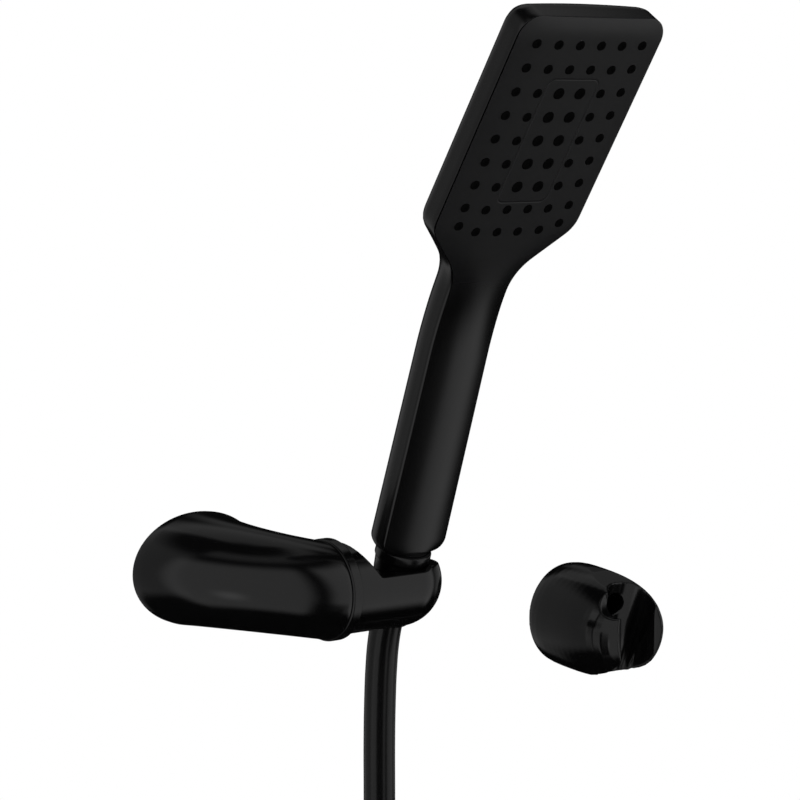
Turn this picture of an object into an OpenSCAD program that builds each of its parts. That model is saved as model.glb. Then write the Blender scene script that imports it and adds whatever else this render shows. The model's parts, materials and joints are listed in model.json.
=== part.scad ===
// Hand shower set for a bath or shower wall: a flat rectangular hand shower on its hose,
// a wall bracket whose tilting cradle carries it, and a second, fixed wall holder.
// The origin is the middle of the bracket's oval foot, on the wall plane Y = 0.
// +Z is up, the room lies towards -Y, and the bracket's arm runs towards +X.

/* [Hand shower head] */
// Width of the head
head_w = 76.6; // [74:0.2:82]
// Distance from the middle nozzle to the top edge of the face
head_up = 56.5; // [55:0.5:62]
// Corner radius at the top of the head
head_corner_r = 9.5; // [7:0.5:12]
// Lean of the spray face from upright, in degrees
face_lean = 33.6; // [30:0.1:37]
// Height of the face's crown over the joint
face_crown = 2.4; // [2.2:0.1:3]
// Straight depth of the head's side wall
head_side = 6.8; // [6.6:0.1:9]
// Radius of the head's rear edge
head_back_r = 6; // [5:0.5:8]
// Width of the dark joint between face and casing
joint_gap = 0.9; // [0.4:0.1:1.1]

/* [Spray nozzles] */
// Nozzle pitch, the same both ways
nozzle_pitch = 11.2; // [10.6:0.1:11.4]
// Diameter of a rain nozzle where it leaves the face
rain_d = 4.2; // [3.4:0.1:4.6]
// Diameter of a massage nozzle where it leaves the face
massage_d = 5.2; // [4.4:0.1:5.6]
// Height that a nozzle stands proud of the face
nozzle_proud = 0.6; // [0.3:0.1:1.2]
// Clearance round each nozzle in the face
nozzle_clear = 0.15; // [0.1:0.05:0.3]
// Diameter of the water channel in a nozzle
jet_d = 1.4; // [1:0.1:2]
// Thickness of the rubber nozzle mats
mat_t = 1.5; // [1:0.1:2]
// Width of the engraved outline round the massage nozzles
outline_w = 27; // [26:0.5:29]
// Length of the engraved outline
outline_l = 59; // [58:0.5:62]
// Width of the engraved line
outline_line = 0.7; // [0.5:0.1:1]

/* [Handle] */
// Width of the handle at its lower end
handle_w = 34.7; // [33:0.1:36]
// Width of the handle at the neck
neck_w = 32; // [31:0.1:33]
// Lean of the handle from upright, in degrees
handle_lean = 19.4; // [17:0.1:22]
// Length of the handle below the bend
handle_len = 118; // [112:1:126]
// Height of the handle's front crown
handle_crown = 2.6; // [2:0.1:3.4]
// Straight depth of the handle's side
handle_side = 5.2; // [4.8:0.1:6]
// Radius of the handle's rear edge
handle_back_r = 12; // [11:0.5:12.5]
// Wall of the two casing shells
shell_t = 2.4; // [2:0.1:2.6]

/* [Selector button] */
// Travel of the selector button
button_travel = 2; // [1:0.1:2.1]
// Diameter of the selector button
button_d = 15; // [13:0.5:16]
// Distance from the middle nozzle down to the button on the back
button_down = 24; // [16:1:28]

/* [Conical nut] */
// Radius of the conical nut at its upper rim
nut_r = 12; // [11.9:0.1:12.4]
// Length of the conical nut
nut_len = 35; // [32:0.5:36]
// Half angle of the cone, in degrees
cone_angle = 4.2; // [3:0.1:4.6]
// Clearance between nut and cradle socket
cone_clear = 0.05; // [0.02:0.01:0.1]
// Radius of the half-inch thread on inlet and nuts
thread_r = 10.4; // [10.3:0.05:10.5]

/* [Hose] */
// Outer diameter of the hose
hose_d = 14; // [13:0.5:14]
// Mean radius of the stored coil
coil_r = 70; // [68:1:76]

/* [Wall bracket] */
// Half width of the oval foot
foot_a = 33.5; // [31:0.5:36]
// Half height of the oval foot
foot_b = 24.8; // [24.2:0.1:27]
// Distance from the wall to the tilt axis
reach = 42; // [40:0.5:46]
// Drop of the tilt axis below the middle of the foot
axis_drop = 8; // [6:0.5:10]
// Distance along the wall from the foot's middle to the arm's round end
arm_x = 35.6; // [34:0.2:38]
// Radius of the arm at its round end
arm_r = 21.3; // [20.8:0.1:21.8]
// Wall of the hollow arm
arm_wall = 3; // [2.5:0.1:3.4]
// Spacing of the two screw holes in the wall plate
plate_pitch = 32; // [28:1:34]
// Radius of each screw hole
screw_hole_r = 2.3; // [2:0.1:2.6]

/* [Cradle] */
// Radius of the cradle's barrel
barrel_r = 20; // [19.6:0.1:20.6]
// Radius of the collar between arm and cradle
collar_r = 22; // [21.6:0.1:22.8]
// Width of that collar
collar_w = 5.4; // [5:0.1:6]
// Distance from the collar to the hand shower's axis
barrel_len = 35; // [34:0.5:38]
// Height of the cradle's cut above the tilt axis
cut_up = 6; // [5:0.5:7]
// Height of the lip at the cradle's free end above the cut
lip_up = 1.9; // [1:0.1:3]
// Radius of the pivot spigot
spigot_r = 11; // [10:0.5:12]
// Running clearance of the pivot
pivot_clear = 0.05; // [0.02:0.01:0.1]
// Width of the slot that lets the hose into the cradle
hose_slot = 15; // [14.4:0.1:16]

/* [Fixed holder] */
// Distance along the wall from the bracket's foot to the holder
holder_x = 214; // [200:1:300]
// Drop of the holder's foot below the bracket's foot
holder_drop = 43; // [0:1:80]
// Largest radius of the holder
holder_r = 25.1; // [24.5:0.1:27]
// Distance from the wall to the holder's socket
holder_reach = 42; // [41:0.5:44]
// Radius of the holder's socket at mid height
holder_socket_r = 11.4; // [11:0.1:12]
// Width of the holder's open mouth
holder_mouth = 21; // [15:0.5:21.5]
// Height of the screw access hole above the foot's middle
access_up = 7.6; // [7:0.1:9]
// Radius of the screw access hole
access_r = 5.4; // [5:0.1:7]
// Height of the round notch in the left arm above the foot's middle
notch_up = 12.8; // [11:0.1:14]
// Radius of the round notch in the left arm
notch_r = 8.3; // [7.5:0.1:9]

/* [Hidden] */
$fn = 48;
shade = "#1b1b1d";
rubber = "#101011";
graphite = "#303031";
brass = "#b8964c";
steel = "#9a9c9f";

// Joint plane of the hand shower: t runs down it from the middle nozzle, x across it, and n
// out of it towards the user. It is bent at the neck.
neck_down = 81;
neck_soft = 26;
shoulder_sum = 83;
shoulder_r = 12;
neck_r = 22;
foot_r = 6;
foot_t = neck_down + handle_len;
bend = face_lean - handle_lean;
function lean_at(t) =
    t < neck_down - neck_soft ? face_lean
    : t > neck_down + neck_soft ? handle_lean
    : face_lean - bend * (t - neck_down + neck_soft) / (2 * neck_soft);
function down_dir(a) = [sin(a), -cos(a)];
function walk(n, t0, dt) =
    [for (i = 0, p = [0, 0]; i <= n; p = p + dt * down_dir(lean_at(t0 + (i + 0.5) * dt)), i = i + 1) p][n];
bend_start = neck_down - neck_soft;
bend_steps = 12;
function spine(t) =
    let (b = min(max(t - bend_start, 0), 2 * neck_soft))
    min(t, bend_start) * down_dir(face_lean)
    + walk(bend_steps, bend_start, b / bend_steps)
    + max(t - bend_start - 2 * neck_soft, 0) * down_dir(handle_lean);
function on_set(x, n, t) =
    let (p = spine(t), a = lean_at(t))
    [x, p[0] - n * cos(a), p[1] - n * sin(a)];

// Half width of the outline at t, shrunk all round by e.
function arc_in(r, x) = sqrt(max(0, r * r - x * x));
function handle_half(t) =
    neck_w / 2 + (handle_w - neck_w) / 2 * max(0, t - neck_down) / handle_len;
function half_w(t, e) =
    let (w = head_w / 2 - e)
    let (top = -head_up + e, rc = head_corner_r - e)
    let (hw = handle_half(t) - e)
    let (k = tan(22.5))
    let (sum = shoulder_sum - e * sqrt(2))
    let (rs = shoulder_r - e, rn = neck_r + e)
    let (ts = sum - w, tn = sum - hw)
    t < top + rc ? w - rc + arc_in(rc, top + rc - t)
    : t < ts - rs * k ? w
    : t < ts + rs * k * cos(45) ? w - rs + arc_in(rs, t - ts + rs * k)
    : t < tn - rn * k * cos(45) ? sum - t
    : t < tn + rn * k ? hw + rn - arc_in(rn, tn + rn * k - t)
    : hw;
function end_w(t, e) =
    let (c = foot_t - foot_r, r = foot_r - e)
    half_w(t, e) - (t > c ? r - arc_in(r, t - c) : 0);

// Sections change from the head's, at 1, to the handle's, at 0.
function headness(t) =
    let (x = min(1, max(0, (neck_down + 4 - t) / 40)))
    x * x * (3 - 2 * x);
function mixed(a, b, x) = a * (1 - x) + b * x;
function top_fall(t) = t > -head_up + 10 ? 1 : 1 - 0.75 * pow((-head_up + 10 - t) / 10, 3);
top_gap = 0.2;
function gap_at(t) =
    let (u = max(0, head_corner_r - head_up - t) / head_corner_r)
    mixed(0.15, mixed(joint_gap, top_gap, u), headness(t));
function rise_at(t) = mixed(handle_crown, face_crown, headness(t)) * top_fall(t) - gap_at(t) * top_fall(t);
function power_at(t) = mixed(2, 3.5, headness(t));
function face_n(x, t) =
    gap_at(t) + rise_at(t) * (1 - pow(min(1, abs(x) / end_w(t, 0)), power_at(t)));

// Stations along the set for a shell shrunk by e.
function stations(e) = concat(
    [for (k = [0:5]) -head_up + e + (head_corner_r - e) * (1 - cos(k * 18))],
    [36, 40, 43, 46, 49, 53, 57, 61, 64.5, 68, 71.5, 75, 80, 86, 93, 100, 107],
    [for (k = [0:4]) foot_t - e - (foot_r - e) * (1 - sin(k * 22.5))]);

module loft(rings) {
    m = len(rings[0]);
    last = len(rings) - 1;
    polyhedron(
        points = [for (r = rings) each r],
        faces = [
            [for (j = [0:m - 1]) j],
            [for (j = [m - 1:-1:0]) last * m + j],
            for (i = [0:last - 1], j = [0:m - 1])
                each [[i * m + j, (i + 1) * m + j, i * m + (j + 1) % m],
                    [i * m + (j + 1) % m, (i + 1) * m + j, (i + 1) * m + (j + 1) % m]]
        ]);
}

// Places of the hand shower and of its axis frame in the cradle.
// In the axis frame +Z runs up the cone, -Y is the front, and the tilt axis passes through it.
socket_x = arm_x + collar_w + barrel_len;
socket_at = [socket_x, -reach, -axis_drop];
nut_off = 6;
foot_up = 16.5;
set_at = socket_at - on_set(0, -nut_off, foot_t + foot_up);
module in_hand() { translate(set_at) children(); }
module in_face() { translate(set_at) rotate([90 + face_lean, 0, 0]) children(); }
module in_axis() { translate(socket_at) rotate([handle_lean, 0, 0]) children(); }
module along_x(x) { translate([x, -reach, -axis_drop]) rotate([0, 90, 0]) children(); }

// Casing behind the face and handle.
corner_steps = 4;
back_steps = 6;
function back_section(t, e, top) =
    let (w = end_w(t, e), h = headness(t))
    let (a = mixed(handle_side, head_side, h), r = mixed(handle_back_r, head_back_r, h) - e)
    let (k = mixed(1.3, 1.6, h))
    concat(
        [[w, top]],
        [for (i = [0:corner_steps]) let (q = i * 90 / corner_steps) [w - r + r * cos(q), -a - r * sin(q)]],
        [for (i = [1:back_steps - 1]) let (x = (w - r) * (1 - 2 * i / back_steps))
            [x, -a - r - k * (1 - pow(x / (w - r), 2))]],
        [for (i = [0:corner_steps]) let (q = 90 + i * 90 / corner_steps) [-w + r + r * cos(q), -a - r * sin(q)]],
        [[-w, top]]);
stem_r = 4.9;
fit = 0.1;
module rear_shell() {
    color(shade)
        difference() {
            in_hand() loft([for (t = stations(0)) [for (q = back_section(t, 0, 0)) on_set(-q[0], q[1], t)]]);
            in_hand() loft([for (t = stations(shell_t)) [for (q = back_section(t, shell_t, 1)) on_set(-q[0], q[1], t)]]);
            in_face() translate([0, -button_down, -30]) cylinder(d = button_d + fit, h = 25);
            in_axis() cylinder(r = stem_r + fit / 2, h = foot_up + 8);
        }
}

// Face and handle front in one panel, with a land below it that fits inside the casing.
front_steps = 14;
land_deep = 1;
land_in = shell_t + fit;
step_t = 0.2;
function land_half(t) = min(end_w(t, land_in), end_w(t, 0) - 1);
function land_low(t) =
    t > -head_up + land_in - step_t / 2 && t < foot_t - land_in + step_t / 2 ? -land_deep : gap_at(t) - 0.05;
function panel_section(t) =
    let (w = end_w(t, 0), g = gap_at(t), v = land_half(t), low = land_low(t))
    concat(
        [for (k = [0:front_steps]) let (x = -w + 2 * w * k / front_steps) [x, face_n(x, t)]],
        [[v, g], [v, low], [-v, low], [-v, g]]);
function clear_of_step(u) = u < land_in - 2 * step_t || u > land_in + step_t;
panel_stations = let (all = stations(0), last = len(all) - 1)
    concat(
        [for (k = [0:5]) if (clear_of_step(all[k] + head_up) && all[k] + head_up < land_in) all[k]],
        [-head_up + land_in - step_t, -head_up + land_in],
        [for (k = [0:5]) if (clear_of_step(all[k] + head_up) && all[k] + head_up > land_in) all[k]],
        [for (k = [6:last - 5]) all[k]],
        [for (k = [last - 4:last]) if (clear_of_step(foot_t - all[k]) && foot_t - all[k] > land_in) all[k]],
        [foot_t - land_in, foot_t - land_in + step_t],
        [for (k = [last - 4:last]) if (clear_of_step(foot_t - all[k]) && foot_t - all[k] < land_in) all[k]]);
module front_shell() {
    color(shade)
        difference() {
            in_hand() loft([for (t = panel_stations) [for (q = panel_section(t)) on_set(-q[0], q[1], t)]]);
            in_face() rain_places() nozzle_hole(rain_d);
            in_face() massage_places() nozzle_hole(massage_d);
            in_face() translate([0, -0.5, face_crown - 0.6]) outline_ring();
        }
}
module nozzle_hole(d) {
    cylinder(d = d + 2 * nozzle_clear, h = 12, center = true, $fn = 12);
}
module rounded(w, l, r) {
    square([w - 2 * r, l], center = true);
    square([w, l - 2 * r], center = true);
    for (i = [-1, 1], j = [-1, 1])
        translate([i * (w / 2 - r), j * (l / 2 - r)]) circle(r);
}
outline_r = 3.5;
module outline_ring() {
    linear_extrude(4, $fn = 12)
        difference() {
            rounded(outline_w, outline_l, outline_r);
            rounded(outline_w - 2 * outline_line, outline_l - 2 * outline_line, outline_r - outline_line);
        }
}

// Nozzle places: six columns and nine rows, the ten in the middle for the massage spray.
function is_massage(i, j) = abs(i) < 1 && abs(j) < 3;
last_row_in = [1, 1.018, 0.968];
last_row_up = [0, 0.4, 3.3];
function nozzle_x(i, j) = i * nozzle_pitch * (j == 4 ? last_row_in[abs(i) - 0.5] : 1);
function nozzle_t(i, j) =
    j * nozzle_pitch - (j == 4 ? last_row_up[abs(i) - 0.5] : abs(i) > 2 ? 0.14 * (j + 5) : 0);
columns = [-2.5:1:2.5];
module nozzle_places(massage) {
    for (i = columns, j = [-4:4])
        if (is_massage(i, j) == massage)
            let (x = nozzle_x(i, j), t = nozzle_t(i, j)) {
                $top = face_n(x, t) + nozzle_proud;
                translate([x, -t, 0]) children();
            }
}
module rain_places() { nozzle_places(false) children(); }
module massage_places() { nozzle_places(true) children(); }
module nozzle(d) {
    translate([0, 0, -land_deep - 0.5]) cylinder(d = d, h = $top + land_deep);
    translate([0, 0, $top - 0.5]) cylinder(d1 = d, d2 = d - 0.8, h = 0.5);
}
module mat_outline(e) {
    w = head_w / 2 - shell_t - 3 - e;
    up = head_up - shell_t - 4 - e;
    low = 4 * nozzle_pitch + 3.4 - e;
    cut = shoulder_sum - 1.5 * shell_t - 2 - e;
    intersection() {
        translate([-w, -low]) square([2 * w, up + low]);
        polygon([[0, -cut], [cut + up, up], [-cut - up, up]]);
    }
}
massage_mat_w = 18;
massage_mat_l = 5 * nozzle_pitch;
module rain_nozzles() {
    color(rubber)
        in_face()
            difference() {
                union() {
                    translate([0, 0, -land_deep - mat_t]) linear_extrude(mat_t) mat_outline(0);
                    rain_places() nozzle(rain_d);
                }
                translate([0, 0, -land_deep]) cube([massage_mat_w + fit, massage_mat_l + fit, 8 * mat_t], center = true);
                rain_places() cylinder(d = jet_d, h = 20, center = true);
            }
}
module massage_nozzles() {
    color(rubber)
        in_face()
            difference() {
                union() {
                    translate([0, 0, -land_deep - mat_t / 2])
                        cube([massage_mat_w - fit, massage_mat_l - fit, mat_t], center = true);
                    massage_places() nozzle(massage_d);
                }
                massage_places() cylinder(d = jet_d + 0.8, h = 20, center = true);
            }
}

// Chamber behind the mats: a rain side, a massage side and the bore of the selector between.
chamber_t = 4;
chamber_back = -land_deep - mat_t - chamber_t;
valve_r = 4;
module spray_chamber() {
    rim = 1.5;
    color(graphite)
        in_face()
            difference() {
                translate([0, 0, chamber_back]) linear_extrude(chamber_t) mat_outline(0);
                translate([0, 0, chamber_back + rim])
                    linear_extrude(chamber_t)
                        difference() {
                            mat_outline(rim);
                            square([massage_mat_w, massage_mat_l], center = true);
                            translate([0, -button_down]) circle(valve_r + rim);
                        }
                translate([0, 0, chamber_back + rim])
                    linear_extrude(chamber_t)
                        difference() {
                            square([massage_mat_w - 2 * rim, massage_mat_l - 2 * rim], center = true);
                            translate([0, -button_down]) circle(valve_r + rim);
                        }
                translate([0, -button_down, -30]) cylinder(r = valve_r, h = 40);
                translate([0, -button_down - valve_r - 6, -30]) cylinder(d = 4, h = 40);
            }
}

// Push button on the back: its stem and ring open one spray or the other.
casing_back = head_side + head_back_r;
button_out = casing_back + 1.6 + button_travel + 0.6;
flange_at = -(casing_back - shell_t) - 1.3;
flange_t = 0.8;
valve_stem_r = 2.7;
seal_wire = 0.6;
seal_at = chamber_back + 0.6;
module selector_button() {
    color(shade)
        in_face()
            translate([0, -button_down, 0]) {
                translate([0, 0, -button_out]) cylinder(d1 = button_d - 1, d2 = button_d, h = 0.5);
                translate([0, 0, -button_out + 0.5]) cylinder(d = button_d, h = flange_at + button_out - 0.5);
                translate([0, 0, flange_at]) cylinder(d = button_d + 2, h = flange_t);
                translate([0, 0, flange_at]) cylinder(r = valve_stem_r, h = seal_at + seal_wire - flange_at + 0.02);
                translate([0, 0, seal_at + seal_wire + 0.02]) cylinder(r = valve_r - 0.3, h = 0.4);
            }
}
module button_seal() {
    color(rubber)
        in_face()
            translate([0, -button_down, seal_at])
                rotate_extrude() translate([valve_r - pivot_clear - seal_wire, 0]) circle(seal_wire);
}
spring_r = 5.6;
spring_wire = 0.4;
spring_turns = 3;
spring_from = flange_at + flange_t + spring_wire;
spring_to = chamber_back - spring_wire;
module button_spring() {
    steps = 16;
    count = spring_turns * steps;
    color(steel)
        in_face()
            translate([0, -button_down, 0])
                loft([for (i = [0:count])
                    let (q = i * 360 / steps, z = spring_from + (spring_to - spring_from) * i / count)
                    [for (k = [0:7])
                        let (r = spring_r + spring_wire * cos(k * 45))
                        [r * cos(q), r * sin(q), z + spring_wire * sin(k * 45)]]]);
}

// Tube inside the handle from the inlet to the chamber.
tube_top = 4 * nozzle_pitch + 5;
tube_r = 4.4;
tube_wall = 0.9;
tube_sides = 16;
function tube_n(t) = mixed(-nut_off, -5.6, headness(t));
function tube_ring(t, r) =
    [for (k = [0:tube_sides - 1])
        on_set(r * cos(k * 360 / tube_sides), tube_n(t) + r * sin(k * 360 / tube_sides), t)];
tube_stations = [tube_top, 55, 61, 68, 75, 82, 89, 96, 103, 110, 130, 150, 170, foot_t - 14];
module water_tube() {
    color(graphite)
        in_hand()
            difference() {
                loft([for (t = tube_stations) tube_ring(t, tube_r)]);
                loft([for (t = concat([tube_top - 1], tube_stations, [foot_t - 13]))
                    tube_ring(t, tube_r - tube_wall)]);
            }
}

// Half-inch inlet under the handle, held in the foot of the casing.
nut_top = foot_up - 0.2;
thread_len = 10;
inlet_low = nut_top - thread_len;
module inlet_connector() {
    color(shade)
        in_axis()
            difference() {
                union() {
                    translate([0, 0, inlet_low]) cylinder(r = thread_r, h = foot_up - inlet_low);
                    translate([0, 0, inlet_low]) cylinder(r = stem_r, h = foot_up + 14 - inlet_low);
                }
                translate([0, 0, inlet_low - 1]) cylinder(r = tube_r - tube_wall, h = 60);
            }
}
washer_t = 2;
flange_deep = 3;
seat_r = 9.2;
module inlet_washer() {
    color(rubber)
        in_axis()
            translate([0, 0, inlet_low - washer_t])
                ring(seat_r, 5.5, washer_t);
}
module ring(outer, inner, h) {
    difference() {
        cylinder(r = outer, h = h);
        translate([0, 0, -1]) cylinder(r = inner, h = h + 2);
    }
}

// Conical nut that turns on the hose and sits in the cradle.
function nut_at(c) = nut_r - (nut_top - c) * tan(cone_angle);
nut_low = nut_top - nut_len;
shoulder_at = inlet_low - washer_t - flange_deep;
hose_room = 0.3;
grip_len = 4.6;
grip_r = nut_r + 0.2;
module conical_nut() {
    rim = 0.5;
    hose_r = hose_d / 2 + hose_room;
    thread_bore = thread_r + fit / 2;
    color(shade)
        in_axis()
            rotate_extrude()
                polygon([
                    [thread_bore, nut_top], [grip_r - rim, nut_top], [grip_r, nut_top - rim], [grip_r, nut_top - grip_len],
                    [nut_at(nut_top - grip_len), nut_top - grip_len], [nut_at(nut_low + rim), nut_low + rim],
                    [nut_at(nut_low) - rim, nut_low], [hose_r, nut_low], [hose_r, shoulder_at],
                    [seat_r + fit, shoulder_at], [seat_r + fit, inlet_low - 0.4], [thread_bore, inlet_low - 0.4]]);
}
module hose_flange() {
    color(brass)
        in_axis()
            translate([0, 0, shoulder_at]) ring(seat_r, 4, flange_deep);
}

// Hose: the hanging stretch, the stored coil with its tie, and the tail with the end nut.
// Points of the middle line.
hose_route = [
    [0, -42.3, -7.3], [0, -35.7, -25.9], [0, -33, -36], [0, -31.4, -48], [0, -30.5, -62], [0, -30, -80],
    [0, -30, -105], [0, -30, -130], [0, -30, -155], [0, -30, -184], [0, -30, -208]];
tail_route = [[14, -51.5, -198], [14, -51.8, -210], [14, -54, -223], [14, -57, -236], [14, -59, -248]];
hose_sides = 12;
coil_y = -30;
coil_z = -208;
coil_side = 28;
function normed(v) = v / norm(v);
function route_ring(route, i, r) =
    let (a = route[max(0, i - 1)], b = route[min(len(route) - 1, i + 1)])
    let (d = normed(b - a), u = [1, 0, 0], v = cross(d, u))
    [for (k = [0:hose_sides - 1])
        route[i] + [socket_x, 0, 0] + r * (cos(k * 360 / hose_sides) * u + sin(k * 360 / hose_sides) * v)];
module swept(route) {
    loft([for (i = [0:len(route) - 1]) route_ring(route, i, hose_d / 2)]);
}
module hose_tube() { color(shade) swept(hose_route); }
module hose_tail() { color(shade) swept(tail_route); }
coil_x = socket_x + hose_d / 2 + coil_r;
module in_coil() { translate([coil_x, coil_y, coil_z]) rotate([90, 0, 0]) children(); }
module hose_coil() {
    color(shade)
        in_coil() rotate_extrude($fn = 72) translate([coil_r, 0]) rounded(coil_side, coil_side, hose_d / 2);
}
tie_w = 14;
tie_t = 1.2;
tie_room = 0.7;
module coil_tie() {
    side = coil_side + 2 * tie_room;
    color(rubber)
        in_coil()
            translate([coil_r, tie_w / 2, 0])
                rotate([90, 0, 0])
                    linear_extrude(tie_w)
                        difference() {
                            rounded(side + 2 * tie_t, side + 2 * tie_t, 7 + tie_t);
                            rounded(side, side, 7);
                        }
}
end_at = [socket_x + 14, -59, -248.2];
end_lean = 9;
end_len = 14;
hex_across = 24;
module in_end() { translate(end_at) rotate([180 - end_lean, 0, 0]) children(); }
module end_flange() {
    color(brass)
        in_end() ring(seat_r, 4, flange_deep);
}
module end_nut() {
    color(shade)
        in_end()
            difference() {
                translate([0, 0, -0.6]) cylinder(d = hex_across / cos(30), h = end_len, $fn = 6);
                translate([0, 0, -1]) cylinder(r = hose_d / 2 + hose_room, h = end_len);
                cylinder(r = seat_r + fit, h = flange_deep + washer_t + 0.4);
                translate([0, 0, flange_deep + washer_t + 0.4]) cylinder(r = thread_r + fit / 2, h = end_len);
            }
}
module end_washer() {
    color(rubber)
        in_end() translate([0, 0, flange_deep]) ring(seat_r, 5.5, washer_t);
}

// Hollow arm: an ellipse on the wall turns through a quarter circle into a round end.
arm_sides = 40;
function arm_ring(q, e) =
    let (s = sin(q), a = mixed(foot_a, arm_r, s) - e, b = mixed(foot_b, arm_r, pow(s, 0.8)) - e)
    let (mid = [arm_x * (1 - cos(q)), -reach * s, -axis_drop * (1 - cos(q))])
    [for (k = [0:arm_sides - 1])
        let (p = -k * 360 / arm_sides)
        mid + [-cos(q) * a * cos(p), -s * a * cos(p), b * sin(p)]];
arm_open = 79;
web_in = arm_x - 6;
web_bore = arm_x - 2.7;
plate_t = 6;
plate_half = foot_a - foot_b - 4.5;
plate_r = foot_b - arm_wall - 1;
module bracket_arm() {
    color(shade)
        difference() {
            loft([for (q = [0:7.5:90]) arm_ring(q, 0)]);
            loft(concat(
                [[for (p = arm_ring(0, arm_wall)) p + [0, 1, 0]]],
                [for (q = [0:arm_open / 10:arm_open]) arm_ring(q, arm_wall)]));
            along_x(web_bore) cylinder(r = spigot_r + pivot_clear, h = 10);
            along_x(web_in - 8) cylinder(r = screw_head_r + 0.5, h = 8);
            along_x(web_in - 1) cylinder(r = screw_r + fit, h = 10);
            translate([0, -plate_t / 2, -foot_b - 5]) cylinder(r = grub_r, h = 12);
        }
}
grub_r = 2.5;
module grub_screw() {
    color(steel)
        difference() {
            translate([0, -plate_t / 2, -foot_b + 0.4]) cylinder(r = grub_r - 0.02, h = foot_b - 0.4 - plate_r);
            translate([0, -plate_t / 2, -foot_b]) cylinder(r = 1.25, h = 2.4, $fn = 6);
        }
}
module wall_plate() {
    color(steel)
        rotate([90, 0, 0])
            difference() {
                linear_extrude(plate_t) {
                    square([2 * plate_half, 2 * plate_r], center = true);
                    for (i = [-1, 1]) translate([i * plate_half, 0]) circle(plate_r);
                }
                for (i = [-1, 1])
                    translate([i * plate_pitch / 2, 0, -1]) {
                        cylinder(r = screw_hole_r, h = plate_t + 2);
                        translate([0, 0, plate_t - 1.2]) cylinder(r1 = screw_hole_r, r2 = screw_hole_r + 2.2, h = 2.21);
                    }
            }
}

// Collar and pivot between arm and cradle.
module arm_collar() {
    edge = 0.5;
    inner = spigot_r + pivot_clear;
    color("#232325")
        along_x(arm_x)
            rotate_extrude()
                polygon([
                    [inner, 0], [collar_r - edge, 0], [collar_r, edge], [collar_r, collar_w - edge],
                    [collar_r - edge, collar_w], [inner, collar_w]]);
}
screw_r = 3;
screw_head_r = 5;
screw_deep = 12;
spring_t = 2;
collar_end = arm_x + collar_w;
groove_at = arm_x + collar_w / 2;
groove_deep = 1.4;
// Side outline of the lip, as shares of the barrel's radius and of the lip's height.
lip_side = [[0.03, 0], [0.12, 0.12], [0.2, 0.5], [0.27, 0.85], [0.35, 1]];
end_off = 0.3;
module cradle() {
    reach_in = cut_up + 30;
    wall_x = 22.7;
    wall_slope = 0.6;
    tall = 24;
    pocket_r = 18.2;
    color(shade)
        difference() {
            union() {
                along_x(collar_end) cylinder(r = barrel_r, h = barrel_len - end_off);
                translate(socket_at - [end_off, 0, 0]) sphere(r = barrel_r);
                along_x(web_bore + fit) cylinder(r = spigot_r, h = collar_end - web_bore);
            }
            translate(socket_at + [0, reach_in, 0])
                rotate([90, 0, 0])
                    linear_extrude(2 * reach_in)
                        polygon([
                            [-wall_x, cut_up], for (q = lip_side) [q[0] * barrel_r, cut_up + q[1] * lip_up],
                            [reach_in, cut_up + lip_up],
                            [reach_in, tall],
                            [-wall_x - wall_slope * (tall - cut_up), tall]]);
            in_axis() translate([0, 0, nut_top - 1]) cylinder(r = pocket_r, h = 20);
            in_axis() translate([0, 0, nut_top - grip_len - 0.4]) cylinder(r = grip_r + 0.4, h = 20);
            in_axis() translate([0, 0, -30]) cylinder(r1 = nut_at(-30) + cone_clear, r2 = nut_at(30) + cone_clear, h = 60);
            in_axis() translate([-hose_slot / 2, 0, -40]) cube([hose_slot, 40, 80]);
            along_x(web_bore - 1) cylinder(r = screw_r, h = screw_deep + 1);
            along_x(groove_at - 0.8) ring(spigot_r + 1, spigot_r - groove_deep, 1.6);
        }
}
module pivot_screw() {
    color(steel)
        difference() {
            union() {
                along_x(web_in - spring_t - 3) cylinder(r = screw_head_r, h = 3);
                along_x(web_in - spring_t) cylinder(r = screw_r - 0.02, h = spring_t + web_bore + screw_deep - 1 - web_in);
            }
            along_x(web_in - spring_t - 4) cylinder(r = 2, h = 3, $fn = 6);
        }
}
module spring_washer() {
    color(steel)
        along_x(web_in - spring_t) ring(screw_head_r, screw_r + 0.1, spring_t);
}
module friction_ring() {
    wire = (groove_deep + pivot_clear) / 2 - 0.02;
    color(rubber)
        along_x(groove_at)
            rotate_extrude() translate([spigot_r + pivot_clear - 0.02 - wire, 0]) circle(wire);
}

// Fixed holder: an egg-shaped body that droops from its round foot, with a conical socket that is
// open in front. A round notch is cut into the front edge of its left arm.
// Side outline, as shares of the holder's reach and of its radius.
holder_side = [
    [0, 1.04], [0, -2], [-0.81, -2], [-0.914, -1.028], [-1.024, -0.884], [-1.119, -0.789], [-1.226, -0.677],
    [-1.226, 0.219], [-1.119, 0.47], [-0.881, 0.701], [-0.571, 0.876], [-0.19, 1.004]];
holder_at = [holder_x, 0, -holder_drop];
holder_sag = 6;
holder_belly = 0.286 * holder_reach;
holder_tip = 1.314 * holder_reach;
holder_out = 1.226 * holder_reach;
egg_power = 2.8;
module in_holder() { translate(holder_at) children(); }
module holder_axis() { in_holder() translate([0, -holder_reach, 0]) rotate([handle_lean, 0, 0]) children(); }
function egg_r(a) =
    let (u = a > holder_belly ? (a - holder_belly) / (holder_tip - holder_belly) : (holder_belly - a) / holder_r)
    holder_r * pow(1 - pow(u, egg_power), 1 / egg_power);
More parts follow.
